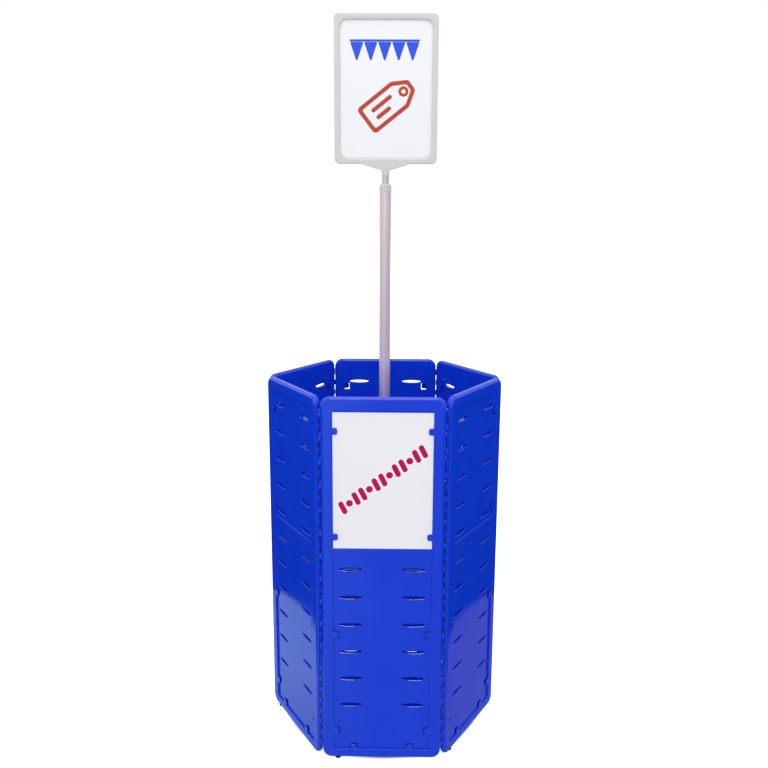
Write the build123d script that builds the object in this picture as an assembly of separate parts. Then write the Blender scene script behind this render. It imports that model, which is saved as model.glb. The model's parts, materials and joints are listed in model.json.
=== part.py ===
from build123d import *
import math
import os

# Six-sided promotional dump bin with a telescopic sign pole.
# Millimetres.  +Z is up, the origin is on the floor on the pole's axis, and the
# panel that carries the poster faces -Y.

os.makedirs("parts", exist_ok=True)

# ---------------------------------------------------------------- driving sizes
# A4 card, used for the poster in the front panel and for the sign
CARD_WIDTH = 210.0
CARD_HEIGHT = 297.0
CARD_THICK = 0.5

# wall panels: six identical hollow mouldings
SIDES = 6
PANEL_HEIGHT = 825.0
PANEL_THICK = 14.0
PANEL_CORNER_R = 20.0
PANEL_EDGE_R = 6.0
FOOT_HEIGHT = 3.0
CARD_SIDE_CLEAR = 1.25      # card to the side of the sunk field
BORDER_SIDE = 24.5
BORDER_TOP = 27.0
BORDER_BOTTOM = 21.0
FIELD_DEPTH = 4.0           # outside face sunk below the border
FIELD_CORNER_R = 4.0
FIELD_RIM_R = 1.2
INNER_STEP = 0.8            # inside face sunk below its border
INNER_BORDER = 22.0
INNER_CORNER_R = 14.0
SKIN = 3.0                  # wall of the hollow moulding
CAVITY_EDGE_WALL = 5.0

# slots that take the floor plate's tongues
SLOT_LENGTH = 47.0
SLOT_HEIGHT = 7.8
SLOT_END_HEIGHT = 3.4
SLOT_TO_FIELD_EDGE = 14.9
SLOT_BEVEL = 1.0            # slope round the outside rim
SLOT_FIRST = 128.5          # lowest row above the panel's lower edge
SLOT_PITCH = 63.8
SLOT_TOP_MARGIN = 25.0      # least plastic between the top row and the border

# tabs that hold a card in the field
TAB_REACH = 11.5
TAB_WIDTH = 14.0
TAB_THICK = 2.0
TAB_SETBACK = 0.4           # below the border's face
TAB_CORNER_R = 4.5
TAB_EDGE_R = 0.6
TAB_ROOT = 3.0              # part of the tab inside the border
TAB_WINDOW_GAP = 1.6        # opening past the tab, all round
TAB_FROM_CARD_TOP = 40.0
TAB_FROM_CARD_BOTTOM = 26.0
TAB_LOW_INSET = 43.75       # lower tabs to the side of the field
CARD_TOP_GAP = 5.0          # card to the top of the field
LEDGE_REACH = 1.5
LEDGE_HEIGHT = 12.0
LEDGE_GAP = 1.0             # card to the ledge
LEDGE_EDGE_R = 0.8

# hinges between the panels
KNUCKLE_R = 3.0
KNUCKLE_CLEAR = 0.3         # barrel to the next panel
KNUCKLE_HEIGHT = 12.0
KNUCKLE_PITCH = 26.0
KNUCKLE_END_MARGIN = 28.0   # panel end to the first barrel, at least
KNUCKLE_ROOT = 4.0          # web inside the panel's edge
KNUCKLE_FLOOR = 3.0         # closed end of the lowest barrel
ROD_R = 1.5
ROD_CLEAR = 0.1
ROD_CAP_HEIGHT = 4.0
ROD_CAP_EDGE_R = 1.0
ROD_CAP_GRIP = 2.5          # rod inside its cap

# glide feet, one under each panel
FOOT_R = 6.5
FOOT_STEM_R = 3.0
FOOT_STEM_LENGTH = 12.0
FOOT_INSET = 9.0            # foot axis to the side of the field
FOOT_BOSS = 6.0             # plastic round the stem
FOOT_FIT = 0.05
FOOT_EDGE_R = 1.0

# floor plate
FLOOR_ROW = 5               # slot row that carries it, counted from the lowest
FLOOR_WALL_CLEAR = 1.5
FLOOR_SKIN = 3.0
FLOOR_DEPTH = 16.0
FLOOR_RIM = 2.5
FLOOR_CORNER_R = 18.0
FLOOR_RIB = 2.5
FLOOR_RIBS = 12
FLOOR_RING_R = 130.0
FLOOR_BOSS_R = 44.0
TONGUE_CLEAR = 0.3
TONGUE_END_CLEAR = 5.9      # tongue's side to the slot's end
TONGUE_SETBACK = 1.0        # tongue's end below the sunk field

# pole socket
SOCKET_FLANGE_R = 42.0
SOCKET_FLANGE_THICK = 4.0
SOCKET_WALL = 4.5
SOCKET_HEIGHT = 70.0
SOCKET_RIB = 4.0
SOCKET_RIB_HEIGHT = 45.0
SOCKET_RIB_REACH = 16.0
SOCKET_BOLT_CIRCLE_R = 32.0
SOCKET_FIT = 0.1
SCREWS = 4
SCREW_R = 2.5
SCREW_HEAD_R = 4.75
SCREW_HEAD_HEIGHT = 2.8
SCREW_HEAD_EDGE_R = 1.7
SCREW_HEX_R = 1.7
SCREW_HEX_DEPTH = 1.6
SCREW_HOLE_CLEAR = 0.2
SCREW_TAIL = 2.0            # room past the nut
SCREW_END_SETBACK = 1.0     # screw's end above the plate's underside
NUT_FLATS_R = 4.0           # half the width across flats
NUT_THICK = 4.0
GRUB_R = 2.5
GRUB_HEIGHT = 52.0          # above the floor plate
GRUB_HEX_R = 1.45
GRUB_HEX_DEPTH = 2.0

# telescopic pole
OUTER_R = 12.5
OUTER_WALL = 1.5
OUTER_TOP = 1246.0
PLUG_THICK = 3.0
PLUG_GRIP = 15.0
PLUG_FIT = 0.05
COLLAR_OVERHANG = 0.5
COLLAR_HEIGHT = 14.0
COLLAR_GRIP = 28.0
COLLAR_EDGE_R = 1.5
RING_HEIGHT = 2.6
RING_GROOVE_CLEAR = 0.2
RING_SECTION = 1.4
RING_BELOW_TOP = 5.0
SLIDE_CLEAR = 0.08
INNER_R = 7.5
INNER_WALL = 1.2
INNER_LENGTH = 560.0
BUSH_LENGTH = 40.0
BUSH_GRIP = 25.0
BUSH_EDGE = 1.0
HEAD_PLUG_GRIP = 30.0       # plug inside the inner tube's mouth
STUD_R = 4.0                # stud that the sign turns on
STUD_LENGTH = 10.0
STUD_END_GAP = 0.5          # stud's end to the bottom of its bore

# sign
NECK_VISIBLE = 19.0         # inner tube seen above the collar
TEE_NECK_R = 8.1
TEE_NECK_HEIGHT = 12.0
TEE_HEIGHT = 14.0           # web between the neck and the frame
TEE_TOP_WIDTH = 98.0
TEE_LIP = 2.0
TEE_CHEEK = 1.3             # cheeks that clasp the frame's lower rail
TEE_CHEEK_HEIGHT = 5.0
TEE_CHEEK_FIT = 0.05
TEE_SEAT_GAP = 0.05
TEE_EDGE_R = 0.8
TEE_NECK_CHAMFER = 0.4
PEG_R = 2.5
PEG_LENGTH = 4.0
PEG_SPACING = 60.0
PEG_FIT = 0.05
FRAME_BORDER = 12.5         # seen face on
FRAME_OVERLAP = 5.0         # lip over the card's edge
FRAME_THICK = 9.0
FRAME_CHANNEL = 3.0
FRAME_CORNER_R = 11.0
FRAME_WINDOW_R = 17.0
FRAME_EDGE_R = 1.8
FRAME_BEVEL_WIDTH = 4.5     # slope down to the window on both faces
FRAME_BEVEL_DEPTH = 1.2
CHANNEL_CLEAR = 1.5         # card to the side of its channel
FILM_THICK = 0.4
FILM_CLEAR = 0.15           # card to the film
FILM_MARGIN = 1.0           # film past the card at each side
FILM_ABOVE_CARD = 2.5

# a piece that is joined to another starts this far inside it, and a cutter runs this
# far past the face that it opens
ROOT = 1.0

# ---------------------------------------------------------------- worked out
FIELD_WIDTH = CARD_WIDTH + 2 * CARD_SIDE_CLEAR
PANEL_WIDTH = FIELD_WIDTH + 2 * BORDER_SIDE
PANEL_BOTTOM = FOOT_HEIGHT
PANEL_TOP = PANEL_BOTTOM + PANEL_HEIGHT
FIELD_BOTTOM = PANEL_BOTTOM + BORDER_BOTTOM
FIELD_TOP = PANEL_TOP - BORDER_TOP
FIELD_HEIGHT = FIELD_TOP - FIELD_BOTTOM
CARD_TOP = FIELD_TOP - CARD_TOP_GAP
CARD_BOTTOM = CARD_TOP - CARD_HEIGHT

OUT = -PANEL_THICK / 2      # a panel's outside face in its own frame, whose y = 0
FIELD_Y = OUT + FIELD_DEPTH  # is the middle of its thickness
IN = PANEL_THICK / 2

HINGE_SETBACK = KNUCKLE_R + KNUCKLE_CLEAR
HINGE_X = PANEL_WIDTH / 2 + HINGE_SETBACK
HALF_TURN = math.pi / SIDES
WALL_MID = HINGE_X / math.tan(HALF_TURN)    # pole axis to the panels' mid-plane

SLOT_X = FIELD_WIDTH / 2 - SLOT_TO_FIELD_EDGE - SLOT_LENGTH / 2
SLOT_LIMIT = FIELD_TOP - SLOT_TOP_MARGIN
SLOT_LOWEST = PANEL_BOTTOM + SLOT_FIRST
SLOT_ROWS = 1 + int((SLOT_LIMIT - SLOT_LOWEST) // SLOT_PITCH)
SLOT_HEIGHTS = [SLOT_LOWEST + row * SLOT_PITCH for row in range(SLOT_ROWS)]

KNUCKLE_ROOM = PANEL_HEIGHT - 2 * KNUCKLE_END_MARGIN - KNUCKLE_HEIGHT
KNUCKLES = 1 + int(KNUCKLE_ROOM // KNUCKLE_PITCH)
KNUCKLE_MIDDLE = (PANEL_BOTTOM + PANEL_TOP) / 2
KNUCKLE_HEIGHTS = [KNUCKLE_MIDDLE + (number - (KNUCKLES - 1) / 2) * KNUCKLE_PITCH
                   for number in range(KNUCKLES)]
ROD_BOTTOM = KNUCKLE_HEIGHTS[0] - KNUCKLE_HEIGHT / 2 + KNUCKLE_FLOOR
KNUCKLE_TOP = KNUCKLE_HEIGHTS[-1] + KNUCKLE_HEIGHT / 2

FOOT_X = -(FIELD_WIDTH / 2 - FOOT_INSET)

# the tongue's half height is where its lower corners reach the slot's curved edge
SLOT_RISE = (SLOT_HEIGHT - SLOT_END_HEIGHT) / 2
SLOT_ARC_R = ((SLOT_LENGTH / 2) ** 2 + SLOT_RISE ** 2) / (2 * SLOT_RISE)
TONGUE_WIDTH = SLOT_LENGTH - 2 * TONGUE_END_CLEAR
TONGUE_DROP = SLOT_ARC_R - math.sqrt(SLOT_ARC_R ** 2 - (TONGUE_WIDTH / 2) ** 2)
TONGUE_HEIGHT = SLOT_HEIGHT - 2 * TONGUE_DROP - 2 * TONGUE_CLEAR
FLOOR_TOP = SLOT_HEIGHTS[FLOOR_ROW] + TONGUE_HEIGHT / 2
FLOOR_UNDER = FLOOR_TOP - FLOOR_DEPTH
FLOOR_APOTHEM = WALL_MID - PANEL_THICK / 2 - FLOOR_WALL_CLEAR

OUTER_BORE_R = OUTER_R - OUTER_WALL
INNER_BORE_R = INNER_R - INNER_WALL
OUTER_BOTTOM = FLOOR_TOP + PLUG_THICK
COLLAR_TOP = OUTER_TOP + COLLAR_HEIGHT
INNER_TOP = COLLAR_TOP + NECK_VISIBLE
INNER_BOTTOM = INNER_TOP - INNER_LENGTH
SIGN_BOTTOM = INNER_TOP + TEE_NECK_HEIGHT + TEE_HEIGHT

FRAME_WIDTH = CARD_WIDTH + 2 * (FRAME_BORDER - FRAME_OVERLAP)
FRAME_HEIGHT = CARD_HEIGHT + 2 * (FRAME_BORDER - FRAME_OVERLAP)
FRAME_MIDDLE = SIGN_BOTTOM + FRAME_HEIGHT / 2
SIGN_CARD_BOTTOM = SIGN_BOTTOM + FRAME_BORDER - FRAME_OVERLAP
FILM_BOTTOM = SIGN_CARD_BOTTOM - FILM_CLEAR - FILM_THICK
FILM_TOP = SIGN_CARD_BOTTOM + CARD_HEIGHT + FILM_ABOVE_CARD
FILM_OUT = CARD_THICK / 2 + FILM_CLEAR + FILM_THICK


# ---------------------------------------------------------------- helpers
def upright(sketch, y_start, thickness):
    """A sketch drawn as x and z, made solid from y_start towards +Y."""
    return extrude(Pos(0, y_start, 0) * (Plane.XZ * sketch), amount=-thickness)


def level(sketch, z_start, height):
    """A sketch drawn as x and y, made solid upwards from z_start."""
    return extrude(Pos(0, 0, z_start) * sketch, amount=height)


def ring(outer_r, inner_r, z_start, height):
    """A round sleeve about the pole's axis."""
    return level(Circle(outer_r) - Circle(inner_r), z_start, height)


def disc(radius, z_start, height):
    """A round solid about the pole's axis."""
    return level(Circle(radius), z_start, height)


def block(x_range, y_range, z_range):
    """A box given by its limits."""
    low = (x_range[0], y_range[0], z_range[0])
    size = [pair[1] - pair[0] for pair in (x_range, y_range, z_range)]
    return Pos(*low) * Box(*size, align=(Align.MIN, Align.MIN, Align.MIN))


def slot_outline(grow=0.0):
    """The lens-shaped slot: two shallow arcs closed by short straight ends."""
    half = SLOT_LENGTH / 2 + grow
    end = SLOT_END_HEIGHT / 2 + grow
    middle = SLOT_HEIGHT / 2 + grow
    edges = [
        ThreePointArc((-half, end), (0, middle), (half, end)),
        Line((half, end), (half, -end)),
        ThreePointArc((half, -end), (0, -middle), (-half, -end)),
        Line((-half, -end), (-half, end)),
    ]
    return make_face(edges)


def slot_bevel():
    """Cutter for the slope round a slot's outside rim."""
    rim = Plane.XZ.offset(-FIELD_Y)
    return loft([rim * slot_outline(SLOT_BEVEL), rim.offset(-SLOT_BEVEL) * slot_outline()],
                ruled=True)


def slot_pattern(grow=0.0):
    """Both columns of slots, in x and z."""
    outline = slot_outline(grow)
    return Sketch() + [Pos(side * SLOT_X, height) * outline
                       for side in (-1, 1) for height in SLOT_HEIGHTS]


def on_wall(shape, number):
    """Move a piece from a panel's own frame to wall number 0 to 5."""
    turn = number * 360 / SIDES
    return Rot(0, 0, turn) * Pos(0, -WALL_MID, 0) * shape


# ---------------------------------------------------------------- wall panel
def tab_places():
    """Centre of each tab's root and the way it points, in x and z."""
    upper = FIELD_TOP - CARD_TOP_GAP - TAB_FROM_CARD_TOP
    inner = FIELD_TOP - CARD_TOP_GAP - CARD_HEIGHT + TAB_FROM_CARD_BOTTOM
    mirrored = [FIELD_BOTTOM + FIELD_TOP - height for height in (upper, inner)]
    edge = FIELD_WIDTH / 2
    places = [(side * edge, height, -side, 0)
              for side in (-1, 1) for height in (upper, inner, *mirrored)]
    low_x = edge - TAB_LOW_INSET
    return places + [(side * low_x, FIELD_BOTTOM, 0, 1) for side in (-1, 1)]


def tab_block(place, back, reach, half_width, y_range):
    """A box that starts behind the field's wall and reaches into the field."""
    x, z, point_x, point_z = place
    along = sorted((-back, reach))
    if point_x:
        x_range = sorted((x + point_x * along[0], x + point_x * along[1]))
        return block(x_range, y_range, (z - half_width, z + half_width))
    return block((x - half_width, x + half_width), y_range, (z + along[0], z + along[1]))


def knuckle_profile(side):
    """Plan of one hinge barrel with the web that joins it to the panel's edge."""
    root = PANEL_WIDTH / 2 - KNUCKLE_ROOT
    web = Pos(side * (root + HINGE_X) / 2, 0) * Rectangle(HINGE_X - root, 2 * KNUCKLE_R)
    return web + Pos(side * HINGE_X, 0) * Circle(KNUCKLE_R)


def wall_panel():
    """One hollow moulded panel, in its own frame."""
    middle = (PANEL_BOTTOM + PANEL_TOP) / 2
    outline = Pos(0, middle) * RectangleRounded(PANEL_WIDTH, PANEL_HEIGHT, PANEL_CORNER_R)
    panel = upright(outline, OUT, PANEL_THICK)
    faces = panel.faces().sort_by(Axis.Y)
    panel = fillet(faces[0].edges() + faces[-1].edges(), PANEL_EDGE_R)

    # sunk field outside, with a softened rim
    field_middle = (FIELD_BOTTOM + FIELD_TOP) / 2
    field = Pos(0, field_middle) * RectangleRounded(FIELD_WIDTH, FIELD_HEIGHT, FIELD_CORNER_R)
    panel -= upright(field, OUT, FIELD_DEPTH)
    border_face = panel.faces().filter_by(Axis.Y).sort_by(Axis.Y)[0]
    panel = fillet(border_face.inner_wires()[0].edges(), FIELD_RIM_R)

    # shallow step inside
    step = Pos(0, middle) * RectangleRounded(PANEL_WIDTH - 2 * INNER_BORDER,
                                             PANEL_HEIGHT - 2 * INNER_BORDER, INNER_CORNER_R)
    panel -= upright(step, IN - INNER_STEP, INNER_STEP)

    # slots with a bevelled rim, and the closed space between the two skins round them
    panel -= upright(slot_pattern(), FIELD_Y, PANEL_THICK)
    bevel = slot_bevel()
    panel -= [Pos(side * SLOT_X, 0, height) * bevel
              for side in (-1, 1) for height in SLOT_HEIGHTS]
    hollow = Pos(0, middle) * RectangleRounded(PANEL_WIDTH - 2 * CAVITY_EDGE_WALL,
                                               PANEL_HEIGHT - 2 * CAVITY_EDGE_WALL,
                                               PANEL_CORNER_R - CAVITY_EDGE_WALL)
    boss_height = FOOT_STEM_LENGTH + FOOT_BOSS
    boss = Pos(FOOT_X, PANEL_BOTTOM + boss_height / 2) * Rectangle(
        2 * (FOOT_STEM_R + FOOT_BOSS), boss_height)
    hollow = hollow - slot_pattern(SKIN) - boss
    panel -= upright(hollow, FIELD_Y + SKIN, IN - INNER_STEP - SKIN - (FIELD_Y + SKIN))

    # tabs over the field, each with an opening behind it
    tab_y = (OUT + TAB_SETBACK, OUT + TAB_SETBACK + TAB_THICK)
    for place in tab_places():
        panel -= tab_block(place, 0.0, TAB_REACH + TAB_WINDOW_GAP,
                           TAB_WIDTH / 2 + TAB_WINDOW_GAP, (FIELD_Y, IN + ROOT))
    for place in tab_places():
        tab = tab_block(place, TAB_ROOT, TAB_REACH, TAB_WIDTH / 2, tab_y)
        tab = fillet(tab.edges().filter_by(Axis.Y), TAB_CORNER_R)
        panel += fillet(tab.faces().sort_by(Axis.Y)[0].edges(), TAB_EDGE_R)

    # ledge under the card
    ledge_top = CARD_BOTTOM - LEDGE_GAP
    ledge = block((-FIELD_WIDTH / 2 - ROOT, FIELD_WIDTH / 2 + ROOT),
                  (FIELD_Y - LEDGE_REACH, FIELD_Y + ROOT), (ledge_top - LEDGE_HEIGHT, ledge_top))
    long_edges = ledge.faces().sort_by(Axis.Y)[0].edges().filter_by(Axis.X)
    panel += fillet(long_edges, LEDGE_EDGE_R)

    # hinge barrels: even ones on the right edge, odd ones on the left
    for number, height in enumerate(KNUCKLE_HEIGHTS):
        side = 1 if number % 2 == 0 else -1
        low = height - KNUCKLE_HEIGHT / 2
        panel += level(knuckle_profile(side), low, KNUCKLE_HEIGHT)
        hole_low = low + KNUCKLE_FLOOR if number == 0 else low
        hole = Pos(side * HINGE_X, 0) * Circle(ROD_R + ROD_CLEAR)
        panel -= level(hole, hole_low, low + KNUCKLE_HEIGHT - hole_low)

    # socket for the foot's stem
    stem_hole = Pos(FOOT_X, 0) * Circle(FOOT_STEM_R + FOOT_FIT)
    panel -= level(stem_hole, PANEL_BOTTOM, FOOT_STEM_LENGTH + FOOT_FIT)
    return panel


# ---------------------------------------------------------------- hinge rods and feet
def hinge_rod():
    """Plastic rod down through one seam's barrels, in the frame of the panel on its left."""
    length = KNUCKLE_TOP + ROD_CAP_GRIP - ROD_BOTTOM
    return level(Pos(HINGE_X, 0) * Circle(ROD_R), ROD_BOTTOM, length)


def hinge_rod_cap():
    """Push-on cap that sits on the top barrel."""
    centre = Pos(HINGE_X, 0)
    cap = level(centre * Circle(KNUCKLE_R), KNUCKLE_TOP, ROD_CAP_HEIGHT)
    cap = fillet(cap.edges().sort_by(Axis.Z)[-1], ROD_CAP_EDGE_R)
    return cap - level(centre * Circle(ROD_R), KNUCKLE_TOP, ROD_CAP_GRIP)


def glide_foot():
    """Round glide with a stem pushed up into the panel."""
    centre = Pos(FOOT_X, 0)
    glide = level(centre * Circle(FOOT_R), 0, FOOT_HEIGHT)
    glide = fillet(glide.edges().sort_by(Axis.Z)[0], FOOT_EDGE_R)
    return glide + level(centre * Circle(FOOT_STEM_R), FOOT_HEIGHT, FOOT_STEM_LENGTH)


# ---------------------------------------------------------------- floor plate
def floor_plate():
    """Hexagonal shelf with a rim and ribs below, and two tongues in every wall."""
    def hexagon(apothem):
        return RegularPolygon(apothem, SIDES, major_radius=False)

    outline = hexagon(FLOOR_APOTHEM)
    outline = fillet(outline.vertices(), FLOOR_CORNER_R)
    inside = hexagon(FLOOR_APOTHEM - FLOOR_RIM)
    inside = fillet(inside.vertices(), FLOOR_CORNER_R - FLOOR_RIM)
    plate = level(outline, FLOOR_TOP - FLOOR_SKIN, FLOOR_SKIN)

    rib = Pos(FLOOR_APOTHEM / 2, 0) * Rectangle(FLOOR_APOTHEM, FLOOR_RIB)
    ribs = Sketch() + [Rot(0, 0, (number + 0.5) * 360 / FLOOR_RIBS) * rib
                       for number in range(FLOOR_RIBS)]
    hoop = Circle(FLOOR_RING_R) - Circle(FLOOR_RING_R - FLOOR_RIB)
    below = (outline - inside) + (ribs & outline) + hoop + Circle(FLOOR_BOSS_R)
    plate += level(below, FLOOR_UNDER, FLOOR_DEPTH - FLOOR_SKIN)

    for spot in PolarLocations(SOCKET_BOLT_CIRCLE_R, SCREWS):
        hole = spot * Circle(SCREW_R + SCREW_HOLE_CLEAR)
        plate -= level(hole, FLOOR_UNDER, FLOOR_DEPTH)
        pocket = spot * RegularPolygon(NUT_FLATS_R + SCREW_HOLE_CLEAR, 6, major_radius=False)
        plate -= level(pocket, FLOOR_UNDER, NUT_THICK + SCREW_TAIL)

    tongue_end = -WALL_MID + FIELD_Y + TONGUE_SETBACK
    half_height = TONGUE_HEIGHT / 2
    centre = SLOT_HEIGHTS[FLOOR_ROW]
    for side in (-1, 1):
        x_range = (side * SLOT_X - TONGUE_WIDTH / 2, side * SLOT_X + TONGUE_WIDTH / 2)
        tongue = block(x_range, (tongue_end, -FLOOR_APOTHEM + FLOOR_RIM),
                       (centre - half_height, centre + half_height))
        for number in range(SIDES):
            plate += Rot(0, 0, number * 360 / SIDES) * tongue
    return plate


# ---------------------------------------------------------------- pole socket
def pole_socket():
    """Flanged socket that holds the pole upright on the floor plate."""
    bore = OUTER_R + SOCKET_FIT
    sleeve_r = bore + SOCKET_WALL
    socket = ring(SOCKET_FLANGE_R, bore, FLOOR_TOP, SOCKET_FLANGE_THICK)
    socket += ring(sleeve_r, bore, FLOOR_TOP, SOCKET_HEIGHT)
    foot = FLOOR_TOP + SOCKET_FLANGE_THICK
    root = sleeve_r - ROOT
    gusset = Polyline((root, foot), (sleeve_r + SOCKET_RIB_REACH, foot),
                      (sleeve_r, foot + SOCKET_RIB_HEIGHT), (root, foot + SOCKET_RIB_HEIGHT),
                      close=True)
    gusset = upright(make_face(gusset), -SOCKET_RIB / 2, SOCKET_RIB)
    for number in range(SCREWS):
        socket += Rot(0, 0, (number + 0.5) * 360 / SCREWS) * gusset
    for spot in PolarLocations(SOCKET_BOLT_CIRCLE_R, SCREWS):
        hole = spot * Circle(SCREW_R + SCREW_HOLE_CLEAR)
        socket -= level(hole, FLOOR_TOP, SOCKET_FLANGE_THICK)
    grub_hole = Pos(0, 0, FLOOR_TOP + GRUB_HEIGHT) * Rot(0, -90, 0) * Cylinder(
        GRUB_R, sleeve_r + ROOT, align=(Align.CENTER, Align.CENTER, Align.MIN))
    return socket - grub_hole


def socket_screw():
    """Button-head screw through the socket's flange and the floor plate."""
    seat = FLOOR_TOP + SOCKET_FLANGE_THICK
    bottom = FLOOR_UNDER + SCREW_END_SETBACK
    head = disc(SCREW_HEAD_R, seat, SCREW_HEAD_HEIGHT)
    head = fillet(head.edges().sort_by(Axis.Z)[-1], SCREW_HEAD_EDGE_R)
    recess = RegularPolygon(SCREW_HEX_R, 6)
    head -= level(recess, seat + SCREW_HEAD_HEIGHT - SCREW_HEX_DEPTH, SCREW_HEX_DEPTH)
    return head + disc(SCREW_R, bottom, seat - bottom)


def socket_nut():
    """Hexagon nut in its pocket under the floor plate."""
    outline = RegularPolygon(NUT_FLATS_R, 6, major_radius=False) - Circle(SCREW_R)
    return level(outline, FLOOR_UNDER + SCREW_TAIL, NUT_THICK)


def round_the_bolt_circle(shape):
    """The same fastener at each hole of the bolt circle."""
    return Compound(children=[spot * shape
                              for spot in PolarLocations(SOCKET_BOLT_CIRCLE_R, SCREWS)])


def grub_screw():
    """Grub screw that bears on the outer tube through the socket's wall."""
    length = SOCKET_FIT + SOCKET_WALL
    screw = Cylinder(GRUB_R, length, align=(Align.CENTER, Align.CENTER, Align.MIN))
    key = Pos(0, 0, length - GRUB_HEX_DEPTH) * extrude(RegularPolygon(GRUB_HEX_R, 6),
                                                       amount=GRUB_HEX_DEPTH)
    return Pos(0, 0, FLOOR_TOP + GRUB_HEIGHT) * Rot(0, -90, 0) * Pos(0, 0, OUTER_R) * (screw - key)


# ---------------------------------------------------------------- telescopic pole
def outer_tube():
    return ring(OUTER_R, OUTER_BORE_R, OUTER_BOTTOM, OUTER_TOP - OUTER_BOTTOM)


def tube_plug():
    """Plastic plug in the outer tube's lower end."""
    plug = disc(OUTER_R, FLOOR_TOP, PLUG_THICK)
    return plug + disc(OUTER_BORE_R - PLUG_FIT, OUTER_BOTTOM, PLUG_GRIP)


def pole_collar():
    """Guide collar in the outer tube's mouth, grooved for the friction ring."""
    bore = INNER_R + SLIDE_CLEAR
    collar = disc(OUTER_R + COLLAR_OVERHANG, OUTER_TOP, COLLAR_HEIGHT)
    collar = fillet(collar.edges().sort_by(Axis.Z)[-1], COLLAR_EDGE_R)
    collar += disc(OUTER_BORE_R - PLUG_FIT, OUTER_TOP - COLLAR_GRIP, COLLAR_GRIP)
    collar -= disc(bore, OUTER_TOP - COLLAR_GRIP, COLLAR_GRIP + COLLAR_HEIGHT)
    groove_height = RING_HEIGHT + 2 * RING_GROOVE_CLEAR
    groove_bottom = COLLAR_TOP - RING_BELOW_TOP - groove_height
    return collar - disc(INNER_R + RING_SECTION + RING_GROOVE_CLEAR, groove_bottom, groove_height)


def friction_ring():
    """Rubber ring in the collar that keeps the pole where it is set."""
    bottom = COLLAR_TOP - RING_BELOW_TOP - RING_GROOVE_CLEAR - RING_HEIGHT
    return ring(INNER_R + RING_SECTION, INNER_R + SLIDE_CLEAR / 2, bottom, RING_HEIGHT)


def inner_tube():
    return ring(INNER_R, INNER_BORE_R, INNER_BOTTOM, INNER_LENGTH)


def inner_bush():
    """Guide bush on the inner tube's lower end, running in the outer tube."""
    bush = disc(OUTER_BORE_R - SLIDE_CLEAR, INNER_BOTTOM - BUSH_LENGTH + BUSH_GRIP, BUSH_LENGTH)
    bush = chamfer(bush.edges().filter_by(GeomType.CIRCLE), BUSH_EDGE)
    seat = disc(INNER_R + PLUG_FIT, INNER_BOTTOM, BUSH_GRIP)
    pin = disc(INNER_BORE_R - PLUG_FIT, INNER_BOTTOM, BUSH_GRIP)
    return bush - seat + pin


def head_plug():
    """Plug in the inner tube's mouth, with the stud that the sign turns on."""
    plug = disc(INNER_BORE_R - PLUG_FIT, INNER_TOP - HEAD_PLUG_GRIP, HEAD_PLUG_GRIP)
    return plug + disc(STUD_R, INNER_TOP, STUD_LENGTH)


# ---------------------------------------------------------------- sign
def sign_tee():
    """Tee that clasps the frame's lower rail and turns on the head plug's stud."""
    half_top = TEE_TOP_WIDTH / 2
    top = SIGN_BOTTOM + TEE_CHEEK_HEIGHT
    lip = SIGN_BOTTOM - TEE_LIP
    web_bottom = SIGN_BOTTOM - TEE_HEIGHT
    profile = Polyline((-half_top, top), (half_top, top), (half_top, lip),
                       (TEE_NECK_R, web_bottom), (-TEE_NECK_R, web_bottom),
                       (-half_top, lip), close=True)
    slot_half = FRAME_THICK / 2 + TEE_CHEEK_FIT
    web_half = slot_half + TEE_CHEEK
    tee = upright(make_face(profile), -web_half, 2 * web_half)
    tee = fillet(tee.edges().filter_by(Axis.Z), TEE_EDGE_R)
    tee -= block((-half_top, half_top), (-slot_half, slot_half), (SIGN_BOTTOM, top))

    shoulder = INNER_TOP + TEE_SEAT_GAP
    neck = disc(TEE_NECK_R, shoulder, web_bottom + TEE_LIP - shoulder)
    tee += chamfer(neck.edges().filter_by(GeomType.CIRCLE).sort_by(Axis.Z)[0], TEE_NECK_CHAMFER)
    tee -= disc(STUD_R + SLIDE_CLEAR, INNER_TOP, STUD_LENGTH + STUD_END_GAP)
    for side in (-1, 1):
        peg = Pos(side * PEG_SPACING / 2, 0) * Circle(PEG_R)
        tee += level(peg, SIGN_BOTTOM - ROOT, PEG_LENGTH + ROOT)
    return tee


def window_outline(grow=0.0):
    """The frame's window, in x and z."""
    width = FRAME_WIDTH - 2 * FRAME_BORDER + 2 * grow
    height = FRAME_HEIGHT - 2 * FRAME_BORDER + 2 * grow
    return Pos(0, FRAME_MIDDLE) * RectangleRounded(width, height, FRAME_WINDOW_R + grow)


def sign_frame():
    """Frame with a bevelled window on both faces and a channel open at the top."""
    outline = Pos(0, FRAME_MIDDLE) * RectangleRounded(FRAME_WIDTH, FRAME_HEIGHT, FRAME_CORNER_R)
    frame = upright(outline, -FRAME_THICK / 2, FRAME_THICK)
    faces = frame.faces().sort_by(Axis.Y)
    frame = fillet(faces[0].edges() + faces[-1].edges(), FRAME_EDGE_R)
    frame -= upright(window_outline(), -FRAME_THICK / 2, FRAME_THICK)
    front = FRAME_THICK / 2
    bevel = loft([Plane.XZ.offset(front) * window_outline(FRAME_BEVEL_WIDTH),
                  Plane.XZ.offset(front - FRAME_BEVEL_DEPTH) * window_outline()], ruled=True)
    frame -= bevel
    frame -= mirror(bevel, about=Plane.XZ)
    half_width = CARD_WIDTH / 2 + CHANNEL_CLEAR
    frame -= block((-half_width, half_width), (-FRAME_CHANNEL / 2, FRAME_CHANNEL / 2),
                   (FILM_BOTTOM, SIGN_BOTTOM + FRAME_HEIGHT))
    for side in (-1, 1):
        hole = Pos(side * PEG_SPACING / 2, 0) * Circle(PEG_R + PEG_FIT)
        frame -= level(hole, SIGN_BOTTOM, PEG_LENGTH + PEG_FIT)
    return frame


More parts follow.
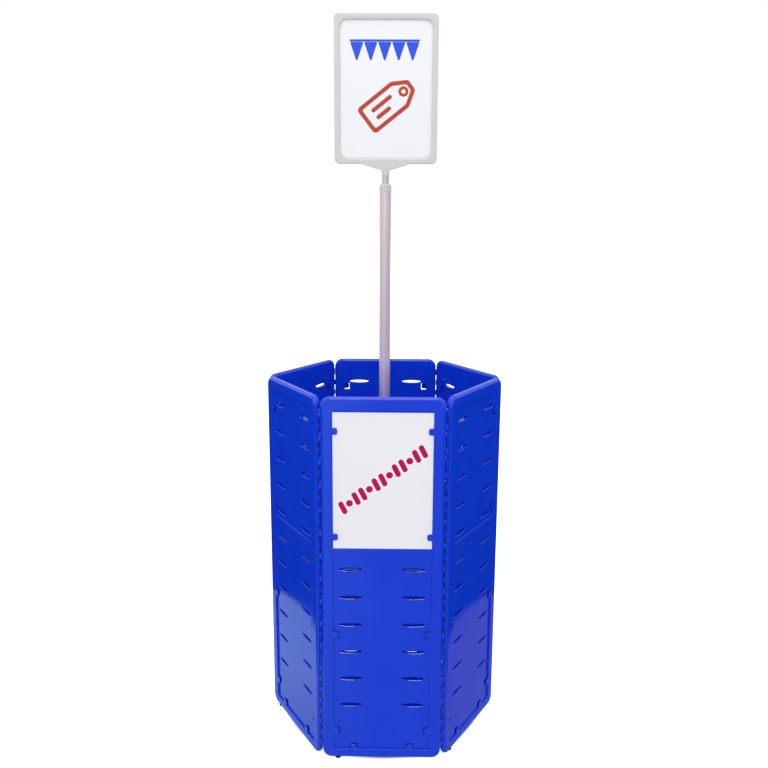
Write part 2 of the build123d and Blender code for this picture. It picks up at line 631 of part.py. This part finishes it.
def sign_pocket():
    """Clear film folded up round the card, open at the top."""
    half_width = CARD_WIDTH / 2 + FILM_MARGIN
    height = (FILM_BOTTOM, FILM_TOP)
    pocket = block((-half_width, half_width), (-FILM_OUT, FILM_OUT), height)
    space = FILM_OUT - FILM_THICK
    return pocket - block((-half_width, half_width), (-space, space),
                          (FILM_BOTTOM + FILM_THICK, FILM_TOP))


def card(y_back, bottom):
    """An A4 card standing with its back at y_back."""
    half_width = CARD_WIDTH / 2
    return block((-half_width, half_width), (y_back - CARD_THICK, y_back),
                 (bottom, bottom + CARD_HEIGHT))


# ---------------------------------------------------------------- write the parts
PANEL_NAMES = ("front", "front_right", "back_right", "back", "back_left", "front_left")
ROD_NAMES = ("front_right", "right", "back_right", "back_left", "left", "front_left")

panel_shape = wall_panel()
rod_shape = hinge_rod()
parts = {}
for number in range(SIDES):
    parts["panel_" + PANEL_NAMES[number]] = on_wall(panel_shape, number)
    parts["hinge_rod_" + ROD_NAMES[number]] = on_wall(rod_shape, number)
parts["hinge_rod_caps"] = Compound(children=[on_wall(hinge_rod_cap(), number)
                                             for number in range(SIDES)])
parts["glide_feet"] = Compound(children=[on_wall(glide_foot(), number)
                                         for number in range(SIDES)])
parts["floor_plate"] = floor_plate()
parts["pole_socket"] = pole_socket()
parts["socket_screws"] = round_the_bolt_circle(socket_screw())
parts["socket_nuts"] = round_the_bolt_circle(socket_nut())
parts["socket_grub_screw"] = grub_screw()
parts["pole_outer_tube"] = outer_tube()
parts["pole_tube_plug"] = tube_plug()
parts["pole_collar"] = pole_collar()
parts["pole_friction_ring"] = friction_ring()
parts["pole_inner_tube"] = inner_tube()
parts["pole_inner_bush"] = inner_bush()
parts["pole_head_plug"] = head_plug()
parts["sign_tee"] = sign_tee()
parts["sign_frame"] = sign_frame()
parts["sign_pocket"] = sign_pocket()
parts["sign_card"] = card(CARD_THICK / 2, SIGN_CARD_BOTTOM)
parts["front_poster"] = card(-WALL_MID + FIELD_Y, CARD_BOTTOM)

for name, shape in parts.items():
    export_step(shape, "parts/" + name + ".step")
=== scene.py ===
import json
import math

import bpy
from mathutils import Matrix, Vector


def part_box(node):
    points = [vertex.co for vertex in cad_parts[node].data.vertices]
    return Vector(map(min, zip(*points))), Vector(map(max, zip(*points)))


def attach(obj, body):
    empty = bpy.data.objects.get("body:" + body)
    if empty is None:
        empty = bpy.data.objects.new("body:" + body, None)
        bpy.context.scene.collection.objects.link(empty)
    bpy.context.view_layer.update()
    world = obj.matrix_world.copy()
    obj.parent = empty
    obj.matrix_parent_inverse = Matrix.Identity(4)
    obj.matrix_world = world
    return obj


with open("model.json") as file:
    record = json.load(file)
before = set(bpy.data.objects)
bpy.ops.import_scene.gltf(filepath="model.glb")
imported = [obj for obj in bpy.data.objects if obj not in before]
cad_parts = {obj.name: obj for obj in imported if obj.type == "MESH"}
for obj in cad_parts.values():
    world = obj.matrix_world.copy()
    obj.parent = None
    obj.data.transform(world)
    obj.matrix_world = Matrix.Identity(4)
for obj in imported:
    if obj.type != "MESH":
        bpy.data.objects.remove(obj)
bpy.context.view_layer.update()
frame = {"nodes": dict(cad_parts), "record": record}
nodes = frame["nodes"]

MM = 0.001


# ---------------------------------------------------------------- colour and shader helpers
def linear(hex_colour):
    """An sRGB hex colour as linear red, green, blue and alpha."""
    channels = [int(hex_colour[start:start + 2], 16) / 255 for start in (1, 3, 5)]
    return [c / 12.92 if c <= 0.04045 else ((c + 0.055) / 1.055) ** 2.4 for c in channels] + [1.0]


def per_metre(size_mm):
    """Texture scale that gives features of a real size."""
    return 1.0 / (size_mm * MM)


def add(tree, kind, settings=None, **links):
    """Adds one shader node: settings fill its inputs or properties, links feed its inputs."""
    node = tree.nodes.new("ShaderNode" + kind)
    for name, value in (settings or {}).items():
        if name in node.inputs:
            node.inputs[name].default_value = value
        else:
            setattr(node, name, value)
    for name, source in links.items():
        tree.links.new(source, node.inputs[name.replace("_", " ")])
    return node


def new_material(name, **sockets):
    """A material with a Principled shader whose even values are set on its own sockets."""
    material = bpy.data.materials.new(name)
    material.use_nodes = True
    tree = material.node_tree
    shader = tree.nodes["Principled BSDF"]
    for socket, value in sockets.items():
        shader.inputs[socket.replace("_", " ")].default_value = value
    return material, tree, shader


def blended_colour(tree, shader, factor, first, second):
    """Base colour that runs from one hex colour to another."""
    mix = add(tree, "Mix", {"data_type": "RGBA"})
    tree.links.new(factor, mix.inputs["Factor"])
    mix.inputs[6].default_value = linear(first)
    mix.inputs[7].default_value = linear(second)
    tree.links.new(mix.outputs[2], shader.inputs["Base Color"])


def surface_relief(tree, shader, height, depth_mm):
    """Relief of a real depth under the shader's normal."""
    bump = add(tree, "Bump", {"Strength": 1.0, "Distance": depth_mm * MM}, Height=height)
    tree.links.new(bump.outputs["Normal"], shader.inputs["Normal"])


# ---------------------------------------------------------------- materials
def blow_moulded_polypropylene():
    """Gloss from the polished mould, with a faint ripple and scuffs near the floor."""
    material, tree, shader = new_material("polypropylene_blow_moulded_royal_blue",
                                          IOR=1.49, Specular_IOR_Level=0.5)
    place = add(tree, "TexCoord").outputs["Object"]
    cloud = add(tree, "TexNoise", {"Scale": per_metre(90), "Detail": 2.0}, Vector=place)
    grain = add(tree, "TexNoise", {"Scale": per_metre(1.6), "Detail": 2.0}, Vector=place)
    ripple = add(tree, "TexNoise", {"Scale": per_metre(22), "Detail": 1.0}, Vector=place)
    blended_colour(tree, shader, cloud.outputs["Fac"], "#0D3CDB", "#1442E0")

    # scuffs: fine streaks that thin out upwards from the floor
    stretch = add(tree, "Mapping", {"Scale": (1.0, 1.0, 0.16)}, Vector=place)
    streak = add(tree, "TexNoise", {"Scale": per_metre(5), "Detail": 4.0, "Roughness": 0.7},
                 Vector=stretch.outputs["Vector"])
    height = add(tree, "SeparateXYZ", Vector=place)
    low = add(tree, "MapRange", {"From Min": 0.0, "From Max": 0.12, "To Min": 0.5,
                                 "To Max": 0.72}, Value=height.outputs["Z"])
    scuff = add(tree, "MapRange", {"From Max": 0.8, "To Min": 0.0, "To Max": 0.12},
                Value=streak.outputs["Fac"], From_Min=low.outputs["Result"])
    haze = add(tree, "MapRange", {"To Min": 0.04, "To Max": 0.09}, Value=cloud.outputs["Fac"])
    rough = add(tree, "Math", {"operation": "ADD"})
    tree.links.new(haze.outputs["Result"], rough.inputs[0])
    tree.links.new(scuff.outputs["Result"], rough.inputs[1])
    tree.links.new(rough.outputs["Value"], shader.inputs["Roughness"])

    both = add(tree, "Math", {"operation": "MULTIPLY_ADD"})
    tree.links.new(grain.outputs["Fac"], both.inputs[0])
    both.inputs[1].default_value = 0.04
    tree.links.new(ripple.outputs["Fac"], both.inputs[2])
    surface_relief(tree, shader, both.outputs["Value"], 0.05)
    return material


def injection_moulded_polypropylene():
    """Satin grained face of the shelf, worn smoother in patches where goods slide."""
    material, tree, shader = new_material("polypropylene_injection_moulded_grained", IOR=1.49)
    place = add(tree, "TexCoord").outputs["Object"]
    patch = add(tree, "TexNoise", {"Scale": per_metre(70), "Detail": 3.0}, Vector=place)
    grain = add(tree, "TexVoronoi", {"Scale": per_metre(1.2)}, Vector=place)
    blended_colour(tree, shader, patch.outputs["Fac"], "#12349F", "#1A3FB6")
    rough = add(tree, "MapRange", {"To Min": 0.32, "To Max": 0.5}, Value=patch.outputs["Fac"])
    tree.links.new(rough.outputs["Result"], shader.inputs["Roughness"])
    surface_relief(tree, shader, grain.outputs["Distance"], 0.06)
    return material


def plain_moulding(name, dark, light, grain_mm, depth_mm, roughness, ior):
    """A moulded plastic with a fine eroded grain and faint uneven tone."""
    material, tree, shader = new_material(name, IOR=ior)
    place = add(tree, "TexCoord").outputs["Object"]
    tone = add(tree, "TexNoise", {"Scale": per_metre(30), "Detail": 2.0}, Vector=place)
    grain = add(tree, "TexNoise", {"Scale": per_metre(grain_mm), "Detail": 3.0}, Vector=place)
    blended_colour(tree, shader, tone.outputs["Fac"], dark, light)
    rough = add(tree, "MapRange", {"To Min": roughness - 0.06, "To Max": roughness + 0.06},
                Value=grain.outputs["Fac"])
    tree.links.new(rough.outputs["Result"], shader.inputs["Roughness"])
    surface_relief(tree, shader, grain.outputs["Fac"], depth_mm)
    return material


def anodised_aluminium(name, dark, light):
    """Drawn tube: fine lines along its length under a matt, faintly tinted oxide."""
    material, tree, shader = new_material(name, Metallic=1.0)
    place = add(tree, "TexCoord").outputs["Object"]
    # die lines are a few hundredths of a millimetre apart; drawn coarser so that they show
    stretch = add(tree, "Mapping", {"Scale": (1.0, 1.0, 0.004)}, Vector=place)
    lines = add(tree, "TexNoise", {"Scale": per_metre(0.6), "Detail": 3.0},
                Vector=stretch.outputs["Vector"])
    bloom = add(tree, "TexNoise", {"Scale": per_metre(45), "Detail": 2.0}, Vector=place)
    blended_colour(tree, shader, bloom.outputs["Fac"], dark, light)
    rough = add(tree, "MapRange", {"To Min": 0.50, "To Max": 0.62}, Value=lines.outputs["Fac"])
    tree.links.new(rough.outputs["Result"], shader.inputs["Roughness"])
    surface_relief(tree, shader, lines.outputs["Fac"], 0.01)
    return material


def zinc_plated_steel():
    """Fastener steel: a dull mottled zinc coat over fine rolling marks."""
    material, tree, shader = new_material("steel_zinc_plated", Metallic=1.0)
    place = add(tree, "TexCoord").outputs["Object"]
    mottle = add(tree, "TexNoise", {"Scale": per_metre(2.5), "Detail": 4.0}, Vector=place)
    stretch = add(tree, "Mapping", {"Scale": (1.0, 1.0, 0.02)}, Vector=place)
    marks = add(tree, "TexNoise", {"Scale": per_metre(0.3), "Detail": 2.0},
                Vector=stretch.outputs["Vector"])
    blended_colour(tree, shader, mottle.outputs["Fac"], "#A9ABB2", "#C9CBD0")
    rough = add(tree, "MapRange", {"To Min": 0.26, "To Max": 0.42}, Value=mottle.outputs["Fac"])
    tree.links.new(rough.outputs["Result"], shader.inputs["Roughness"])
    surface_relief(tree, shader, marks.outputs["Fac"], 0.01)
    return material


def pocket_film():
    """Clear calendered PVC: a light sheen and hardly any tone over the card."""
    material, tree, shader = new_material("pvc_film_clear_calendered", IOR=1.53, Alpha=0.03)
    shader.inputs["Base Color"].default_value = linear("#F4F6FA")
    place = add(tree, "TexCoord").outputs["Object"]
    wave = add(tree, "TexNoise", {"Scale": per_metre(60), "Detail": 1.0}, Vector=place)
    rough = add(tree, "MapRange", {"To Min": 0.08, "To Max": 0.16}, Value=wave.outputs["Fac"])
    tree.links.new(rough.outputs["Result"], shader.inputs["Roughness"])
    surface_relief(tree, shader, wave.outputs["Fac"], 0.2)
    return material


def coated_card():
    """White coated card: even tone, a faint fibre mottle and a matt face."""
    material, tree, shader = new_material("card_coated_white", IOR=1.5, Specular_IOR_Level=0.3)
    place = add(tree, "TexCoord").outputs["Object"]
    fibre = add(tree, "TexNoise", {"Scale": per_metre(0.9), "Detail": 5.0}, Vector=place)
    blended_colour(tree, shader, fibre.outputs["Fac"], "#F2F2F7", "#F8F8FC")
    rough = add(tree, "MapRange", {"To Min": 0.55, "To Max": 0.7}, Value=fibre.outputs["Fac"])
    tree.links.new(rough.outputs["Result"], shader.inputs["Roughness"])
    surface_relief(tree, shader, fibre.outputs["Fac"], 0.01)
    return material


def printing_ink(name, dark, light):
    """Offset ink: solid colour with a slight sheen and pinholes of the card's fibre."""
    material, tree, shader = new_material(name, IOR=1.5, Specular_IOR_Level=0.15)
    place = add(tree, "TexCoord").outputs["Object"]
    fibre = add(tree, "TexNoise", {"Scale": per_metre(0.7), "Detail": 4.0}, Vector=place)
    blended_colour(tree, shader, fibre.outputs["Fac"], dark, light)
    rough = add(tree, "MapRange", {"To Min": 0.35, "To Max": 0.5}, Value=fibre.outputs["Fac"])
    tree.links.new(rough.outputs["Result"], shader.inputs["Roughness"])
    surface_relief(tree, shader, fibre.outputs["Fac"], 0.005)
    return material


bin_plastic = blow_moulded_polypropylene()
shelf_plastic = injection_moulded_polypropylene()
cap_plastic = plain_moulding("polyethylene_moulded_blue", "#1632A4", "#1B3AB4", 0.8, 0.02, 0.42, 1.51)
glide_plastic = plain_moulding("polyethylene_moulded_navy", "#14256E", "#182C7C", 0.8, 0.03, 0.5, 1.51)
black_nylon = plain_moulding("nylon_moulded_black", "#121214", "#1C1C1F", 0.9, 0.04, 0.48, 1.53)
grey_abs = plain_moulding("abs_moulded_mid_grey", "#CDC5CE", "#D5CDD5", 0.7, 0.02, 0.4, 1.53)
sign_abs = plain_moulding("abs_moulded_light_grey", "#CCCECC", "#D5D6D4", 0.7, 0.02, 0.38, 1.53)
ring_rubber = plain_moulding("nitrile_rubber_moulded", "#0D0D0D", "#171717", 0.5, 0.02, 0.75, 1.52)
lilac_tube = anodised_aluminium("aluminium_drawn_lilac_anodised", "#F0E1EC", "#F5E8F0")
clear_tube = anodised_aluminium("aluminium_drawn_clear_anodised", "#D6D8D4", "#DCDEDA")
rod_nylon = plain_moulding("nylon_rod_drawn_blue", "#0E2C9E", "#1534AC", 0.5, 0.01, 0.38, 1.53)
zinc_steel = zinc_plated_steel()
clear_film = pocket_film()
white_card = coated_card()
blue_ink = printing_ink("offset_ink_blue", "#0847DC", "#0F4EE6")
rust_ink = printing_ink("offset_ink_rust", "#B83402", "#C43C06")
magenta_ink = printing_ink("offset_ink_magenta", "#BC0058", "#C80062")

SLOT_MATERIALS = {
    "bin_polypropylene": bin_plastic,
    "floor_polypropylene": shelf_plastic,
    "rod_nylon": rod_nylon,
    "cap_polyethylene": cap_plastic,
    "glide_polyethylene": glide_plastic,
    "socket_nylon": black_nylon,
    "fastener_steel": zinc_steel,
    "tube_aluminium": lilac_tube,
    "collar_abs": grey_abs,
    "ring_rubber": ring_rubber,
    "sign_abs": sign_abs,
    "pocket_film": clear_film,
    "card_paper": white_card,
}

for part in frame["record"]["subparts"]:
    node = nodes[part["node"]]
    for material_slot in node.material_slots:
        material_slot.material = SLOT_MATERIALS[part["material_slot"]]
# the thin inner tube has the plain oxide
for material_slot in nodes["pole_inner_tube"].material_slots:
    material_slot.material = clear_tube


# ---------------------------------------------------------------- printed artwork
INK_THICK = 0.08 * MM
ARC_STEPS = 6


def arc_corner(before, corner, after, radius):
    """Points that round one corner of an outline."""
    to_before = (before - corner).normalized()
    to_after = (after - corner).normalized()
    half = to_before.angle(to_after) / 2
    centre = corner + (to_before + to_after).normalized() * (radius / math.sin(half))
    start = corner + to_before * (radius / math.tan(half)) - centre
    finish = corner + to_after * (radius / math.tan(half)) - centre
    turn = start.angle_signed(finish)
    return [centre + Matrix.Rotation(-turn * step / ARC_STEPS, 2) @ start
            for step in range(ARC_STEPS + 1)]


def rounded(corners, radius):
    """A closed outline through these corners, each rounded."""
    corners = [Vector(corner) for corner in corners]
    count = len(corners)
    return [point for index, corner in enumerate(corners)
            for point in arc_corner(corners[index - 1], corner,
                                    corners[(index + 1) % count], radius)]


def circle(centre, radius, steps=48):
    """A round outline."""
    return [Vector(centre) + radius * Vector((math.cos(angle), math.sin(angle)))
            for angle in (2 * math.pi * step / steps for step in range(steps))]


def pill(centre, length, width, lean=0.0):
    """A bar with slanted, softened ends, as an outline."""
    x, y = centre
    half = length / 2
    rise = width / 2
    corners = [(x - half - lean, y - rise), (x + half - lean, y - rise),
               (x + half + lean, y + rise), (x - half + lean, y + rise)]
    return rounded(corners, 0.45 * min(length, width))


def inset(corners, distance):
    """A convex counter-clockwise outline moved inwards all round."""
    corners = [Vector(corner) for corner in corners]
    count = len(corners)
    moved = []
    for index, corner in enumerate(corners):
        into = (corner - corners[index - 1]).normalized()
        out = (corners[(index + 1) % count] - corner).normalized()
        inward_in = Vector((-into.y, into.x))
        inward_out = Vector((-out.y, out.x))
        bisector = (inward_in + inward_out).normalized()
        moved.append(corner + bisector * (distance / bisector.dot(inward_in)))
    return moved


def print_on(name, outlines, ink, card_node, centre, body, turn=0.0):
    """Lays outlines, in millimetres about centre, as a film of ink on a card's front."""
    low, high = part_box(card_node)
    curve = bpy.data.curves.new(name, "CURVE")
    curve.dimensions = "2D"
    curve.fill_mode = "BOTH"
    curve.extrude = INK_THICK / 2
    for outline in outlines:
        spline = curve.splines.new("POLY")
        spline.points.add(len(outline) - 1)
        for point, place in zip(spline.points, outline):
            point.co = (place.x * MM, place.y * MM, 0.0, 1.0)
        spline.use_cyclic_u = True
    shape = bpy.data.objects.new(name + "_outline", curve)
    bpy.context.scene.collection.objects.link(shape)
    bpy.context.view_layer.update()
    mesh = bpy.data.meshes.new_from_object(shape.evaluated_get(
        bpy.context.evaluated_depsgraph_get()))
    bpy.data.objects.remove(shape)
    middle = Vector(((low[0] + high[0]) / 2 + centre[0] * MM, low[1] - INK_THICK / 2,
                     (low[2] + high[2]) / 2 + centre[1] * MM))
    stand = Matrix.Rotation(math.radians(90), 4, "X")
    mesh.transform(Matrix.Translation(middle) @ stand @ Matrix.Rotation(turn, 4, "Z"))
    mesh.materials.clear()
    mesh.materials.append(ink)
    mesh.name = name
    piece = bpy.data.objects.new(name, mesh)
    bpy.context.scene.collection.objects.link(piece)
    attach(piece, body)
    return piece


def bunting():
    """A string of pennants along the top of the sign."""
    width = 151.0
    pennants = 5
    pitch = width / pennants
    outlines = [pill((0, 19.6), width, 4.8)]
    for number in range(pennants):
        x = (number - (pennants - 1) / 2) * pitch
        corners = [(x, -25.0), (x + 0.48 * pitch, 16.7), (x - 0.48 * pitch, 16.7)]
        outlines.append(rounded(corners, 2.0))
    return outlines


def hang_tag():
    """A tied price tag drawn as a heavy outline."""
    stroke = 9.0
    body = [(-66, -33), (28, -33), (61, -13), (61, 13), (28, 33), (-66, 33)]
    outlines = [rounded(body, 9.0), rounded(inset(body, stroke), 4.0)[::-1]]
    outlines += [circle((38, 0), 11.0), circle((38, 0), 4.6)[::-1]]
    outlines += [pill((-15, 9), 54, stroke), pill((-23, -9), 38, stroke)]
    return outlines


def confetti_band():
    """A run of slanted lozenges, large and small in turn."""
    lozenges = 13
    pitch = 17.4
    outlines = []
    for number in range(lozenges):
        x = (number - (lozenges - 1) / 2) * pitch
        if number % 3 == 1:
            outlines.append(circle((x, 0.0), 7.2))
        else:
            outlines.append(pill((x, 0.0), 11.5, 29.0, 2.4))
    return outlines


print_on("sign_print_bunting", bunting(), blue_ink, "sign_card", (-3.0, 81.0), "pocket")
print_on("sign_print_tag", hang_tag(), rust_ink, "sign_card", (8.0, -27.0), "pocket",
         math.radians(38))
print_on("poster_print_band", confetti_band(), magenta_ink, "front_poster", (0.0, 4.0), "bin",
         math.radians(36.5))


# ---------------------------------------------------------------- floor, light and camera
STAGE_RADIUS = 40.0          # metres, as every size of the stage is
# radius of the glowing disc that paints the floor's reflection in polished faces
PAINTED_REFLECTION_RADIUS = 4.5
COVERED_RADIUS = 0.232       # floor under the bin, where the floor's glow is cut: painted shade
OPEN_RADIUS = 0.245
PATCH_BEHIND = 0.53
PATCH_HALF_AXES = (0.79, 0.68, 1.0)
PATCH_EDGE = 0.008           # half the patch's soft edge, as a share of its half axes


def flat_disc(name, radius, height, material):
    """A round stage surface about the origin."""
    mesh = bpy.data.meshes.new(name)
    outline = circle((0, 0), radius, 96)
    mesh.from_pydata([(point.x, point.y, height) for point in outline], [],
                     [tuple(range(len(outline)))])
    mesh.materials.append(material)
    disc = bpy.data.objects.new(name, mesh)
    bpy.context.scene.collection.objects.link(disc)
    return disc


def pale_floor():
    """Matt white floor with an even glow that meets the backdrop; the glow is cut under the object, a
    painted shade where it covers the floor.
    """
    material, tree, shader = new_material("studio_floor_pale", Roughness=0.9)
    shader.inputs["Base Color"].default_value = linear("#F1F1F1")
    place = add(tree, "TexCoord").outputs["Object"]
    distance = add(tree, "VectorMath", {"operation": "LENGTH"})
    tree.links.new(place, distance.inputs[0])
    # no glow inside the bin's footprint: painted shade under the object, full glow beyond it
    glow_outside_footprint = add(tree, "MapRange", {"From Min": COVERED_RADIUS, "From Max": OPEN_RADIUS,
                                 "To Max": 0.8}, Value=distance.outputs["Value"])
    tree.links.new(glow_outside_footprint.outputs["Result"], shader.inputs["Emission Strength"])
    shader.inputs["Emission Color"].default_value = (1.0, 1.0, 1.0, 1.0)
    floor = flat_disc("studio_floor", STAGE_RADIUS, 0.0, material)
    floor.visible_glossy = False
    floor.visible_diffuse = False
    return floor


def painted_floor_reflection():
    """A painted reflection of the floor for polished faces to mirror: a glowing patch round the
    object, dark beyond, seen only by glossy rays.
    """
    material = bpy.data.materials.new("studio_floor_painted_reflection")
    material.use_nodes = True
    tree = material.node_tree
    tree.nodes.clear()
    place = add(tree, "TexCoord").outputs["Object"]
    axes = add(tree, "SeparateXYZ", Vector=place)
    # the patch is an ellipse behind the object's middle, carried straight on to its front
    behind = add(tree, "Math", {"operation": "MAXIMUM"})
    tree.links.new(axes.outputs["Y"], behind.inputs[0])
    behind.inputs[1].default_value = 0.0
    spot = add(tree, "CombineXYZ", X=axes.outputs["X"], Y=behind.outputs["Value"])
    shifted = add(tree, "Mapping", {"vector_type": "TEXTURE", "Location": (0.0, PATCH_BEHIND, 0.0),
                                    "Scale": PATCH_HALF_AXES}, Vector=spot.outputs["Vector"])
    reach = add(tree, "VectorMath", {"operation": "LENGTH"})
    tree.links.new(shifted.outputs["Vector"], reach.inputs[0])
    inside = add(tree, "MapRange", {"From Min": 1.0 + PATCH_EDGE, "From Max": 1.0 - PATCH_EDGE},
                 Value=reach.outputs["Value"])
    # painted reflection: cool and bright on the left, dimmer and warmer on the right, dull in front
    across = add(tree, "MapRange", {"From Min": -0.7, "From Max": 0.7}, Value=axes.outputs["X"])
    level = add(tree, "ValToRGB", Fac=across.outputs["Result"])
    ramp = level.color_ramp.elements
    ramp[0].position = 0.2
    ramp[0].color = (0.62, 0.82, 0.68, 1.0)
    ramp[1].position = 0.8
    ramp[1].color = (0.31, 0.24, 0.38, 1.0)
    middle = ramp.new(0.5)
    middle.color = (0.25, 0.27, 0.3, 1.0)
    # the patch glows though no lamp is there: painted reflection
    light = add(tree, "Emission", Color=level.outputs["Color"], Strength=inside.outputs["Result"])
    output = add(tree, "OutputMaterial", Surface=light.outputs["Emission"])
    floor = flat_disc("studio_floor_painted_reflection", PAINTED_REFLECTION_RADIUS, -0.001, material)
    floor.visible_camera = False
    floor.visible_diffuse = False
    floor.visible_shadow = False
    floor.visible_transmission = False
    return floor


def studio_world():
    """White behind the object, soft fill on it, and a left-bright sky for metal to mirror."""
    world = bpy.data.worlds.new("studio")
    world.use_nodes = True
    bpy.context.scene.world = world
    tree = world.node_tree
    tree.nodes.clear()
    ray = add(tree, "LightPath")
    direction = add(tree, "TexCoord").outputs["Generated"]
    axes = add(tree, "SeparateXYZ", Vector=direction)
    sky = add(tree, "MapRange", {"From Min": -1.0, "From Max": 1.0, "To Min": 0.86, "To Max": 0.7},
              Value=axes.outputs["X"])
    backdrop = add(tree, "Background", {"Color": (1.0, 1.0, 1.0, 1.0), "Strength": 1.0})
    mirrored = add(tree, "Background", {"Color": (1.0, 1.0, 1.0, 1.0)},
                   Strength=sky.outputs["Result"])
    fill = add(tree, "Background", {"Color": (0.98, 0.99, 1.0, 1.0), "Strength": 0.8})
    soft = add(tree, "MixShader", Fac=ray.outputs["Is Glossy Ray"])
    tree.links.new(fill.outputs["Background"], soft.inputs[1])
    tree.links.new(mirrored.outputs["Background"], soft.inputs[2])
    seen = add(tree, "MixShader", Fac=ray.outputs["Is Camera Ray"])
    tree.links.new(soft.outputs["Shader"], seen.inputs[1])
    tree.links.new(backdrop.outputs["Background"], seen.inputs[2])
    add(tree, "OutputWorld", Surface=seen.outputs["Shader"])


def area_light(name, place, target, size, watts):
    """A square soft box that points at a target."""
    data = bpy.data.lights.new(name, "AREA")
    data.shape = "SQUARE"
    data.size = size
    data.energy = watts
    lamp = bpy.data.objects.new(name, data)
    lamp.location = place
    aim = Vector(target) - Vector(place)
    lamp.rotation_euler = aim.to_track_quat("-Z", "Y").to_euler()
    bpy.context.scene.collection.objects.link(lamp)


def studio_camera():
    """Standing eye level in front of the object, looking slightly down at it."""
    data = bpy.data.cameras.new("camera")
    data.sensor_width = 36.0
    data.lens = 39.475
    data.clip_end = 2 * STAGE_RADIUS
    camera = bpy.data.objects.new("camera", data)
    heading = Matrix.Rotation(math.radians(0.61), 4, "Z")
    pitch = Matrix.Rotation(math.radians(90 - 11.46), 4, "X")
    roll = Matrix.Rotation(math.radians(0.29), 4, "Z")
    stand = Matrix.Translation((0.0194, -1.9206, 1.1978))
    camera.matrix_world = stand @ heading @ pitch @ roll
    bpy.context.scene.collection.objects.link(camera)
    bpy.context.scene.camera = camera


pale_floor()
# glowing disc seen only by glossy rays: painted floor reflection
painted_floor_reflection()
studio_world()
area_light("key_soft_box", (-1.3, -3.9, 2.7), (0, 0, 0.9), 2.6, 14.0)
area_light("top_soft_box", (0.0, -0.4, 3.4), (0, 0, 0.5), 1.6, 16.0)
area_light("rim_soft_box", (0.0, -2.0, 3.2), (0, 0.22, 0.75), 0.9, 13.0)
studio_camera()
bpy.context.scene.view_settings.view_transform = "Standard"
